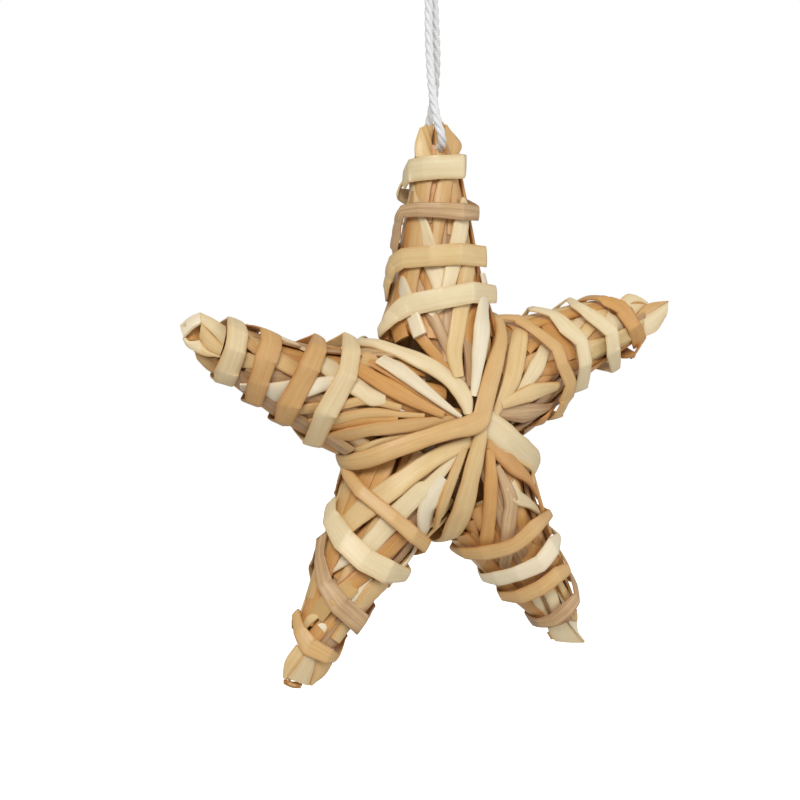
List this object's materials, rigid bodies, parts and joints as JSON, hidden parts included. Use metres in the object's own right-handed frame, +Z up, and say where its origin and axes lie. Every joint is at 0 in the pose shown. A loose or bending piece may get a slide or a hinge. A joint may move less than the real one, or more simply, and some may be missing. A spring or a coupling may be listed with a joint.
{
  "type": "straw star ornament",
  "caption": "Puffed five-pointed star of flattened straws, each arm bound with a straw ribbon and closed by folded tips, hung on a loop of twisted cord.",
  "frame": {"origin": "top of the hanging cord's loop, under its knot, where a hook or a twig carries the star", "axes": "+Z up along the hanging cord; -Y is the star's front and +Y its back; X runs across the star, which lies in the XZ plane"},
  "size_m": [0.123, 0.0295, 0.1466],
  "materials": {
    "white_straw": "split straw, nearly white, glossy and ribbed lengthwise",
    "cream_straw": "split straw, cream, satin sheen with fine lengthwise fibres",
    "honey_straw": "split straw, honey, satin sheen with fine lengthwise fibres",
    "tan_straw": "split straw, tan, satin sheen with fine lengthwise fibres",
    "orange_straw": "split straw, golden orange, satin sheen with fine lengthwise fibres",
    "brown_straw": "split straw, pinkish brown with dark lengthwise stripes",
    "binding_straw": "flat straw ribbon, cream to tan, satin with creased corners",
    "tip_straw": "flat straw folded over, honey to tan, satin",
    "back_straw": "split straw, honey to tan, satin",
    "cord": "white twisted cord with a slight sheen"
  },
  "bodies": {
    "root": {"bottom_crease_straw": "honey_straw", "cord_knot": "cord", "crease_straw_over_the_peak": "tan_straw", "hanging_cord": "cord", "left_arm_back_straws": "back_straw", "left_arm_binding": "binding_straw", "left_arm_cream_upper_straw": "cream_straw", "left_arm_folded_tip": "tip_straw", "left_arm_grained_thin_straw": "tan_straw", "left_arm_orange_long_straw": "orange_straw", "left_arm_tan_axis_straw": "tan_straw", "left_arm_tan_lower_straw": "tan_straw", "left_arm_tan_top_straw": "tan_straw", "left_arm_white_cut_straw": "white_straw", "left_arm_white_lower_straw": "white_straw", "lower_left_arm_back_straws": "back_straw", "lower_left_arm_binding": "binding_straw", "lower_left_arm_cream_crossing_straw": "cream_straw", "lower_left_arm_cream_flank_straw": "white_straw", "lower_left_arm_cream_thin_straw": "honey_straw", "lower_left_arm_cream_tip_side_straw": "honey_straw", "lower_left_arm_folded_tip": "tip_straw", "lower_left_arm_honey_wide_straw": "honey_straw", "lower_left_arm_orange_flank_straw": "orange_straw", "lower_left_arm_tan_crossing_straw": "orange_straw", "lower_left_arm_tan_lower_straw": "tan_straw", "lower_right_arm_back_straws": "back_straw", "lower_right_arm_binding": "binding_straw", "lower_right_arm_brown_striped_straw": "brown_straw", "lower_right_arm_cream_outer_straw": "cream_straw", "lower_right_arm_cream_short_straw": "cream_straw", "lower_right_arm_folded_tip": "tip_straw", "lower_right_arm_orange_falling_straw": "orange_straw", "lower_right_arm_orange_rising_straw": "orange_straw", "lower_right_arm_tan_middle_straw": "tan_straw", "lower_right_arm_tan_outer_straw": "orange_straw", "right_arm_back_straws": "back_straw", "right_arm_binding": "binding_straw", "right_arm_cream_rising_straw": "cream_straw", "right_arm_cream_upper_straw": "cream_straw", "right_arm_folded_tip": "tip_straw", "right_arm_honey_level_straw": "honey_straw", "right_arm_honey_lower_straw": "honey_straw", "right_arm_honey_rising_straw": "honey_straw", "right_arm_orange_middle_straw": "orange_straw", "right_arm_pink_grained_straw": "brown_straw", "right_crease_straw": "cream_straw", "top_arm_back_straws": "back_straw", "top_arm_binding": "binding_straw", "top_arm_brown_falling_straw": "brown_straw", "top_arm_cream_falling_straw": "cream_straw", "top_arm_cream_rising_straw": "cream_straw", "top_arm_folded_tip": "tip_straw", "top_arm_grained_rising_straw": "tan_straw", "top_arm_orange_inner_straw": "orange_straw", "top_arm_tan_rising_straw": "honey_straw", "top_arm_white_cut_straw": "white_straw", "top_arm_white_right_straw": "white_straw", "upper_left_crease_straw": "cream_straw"}
  },
  "joints": []
}
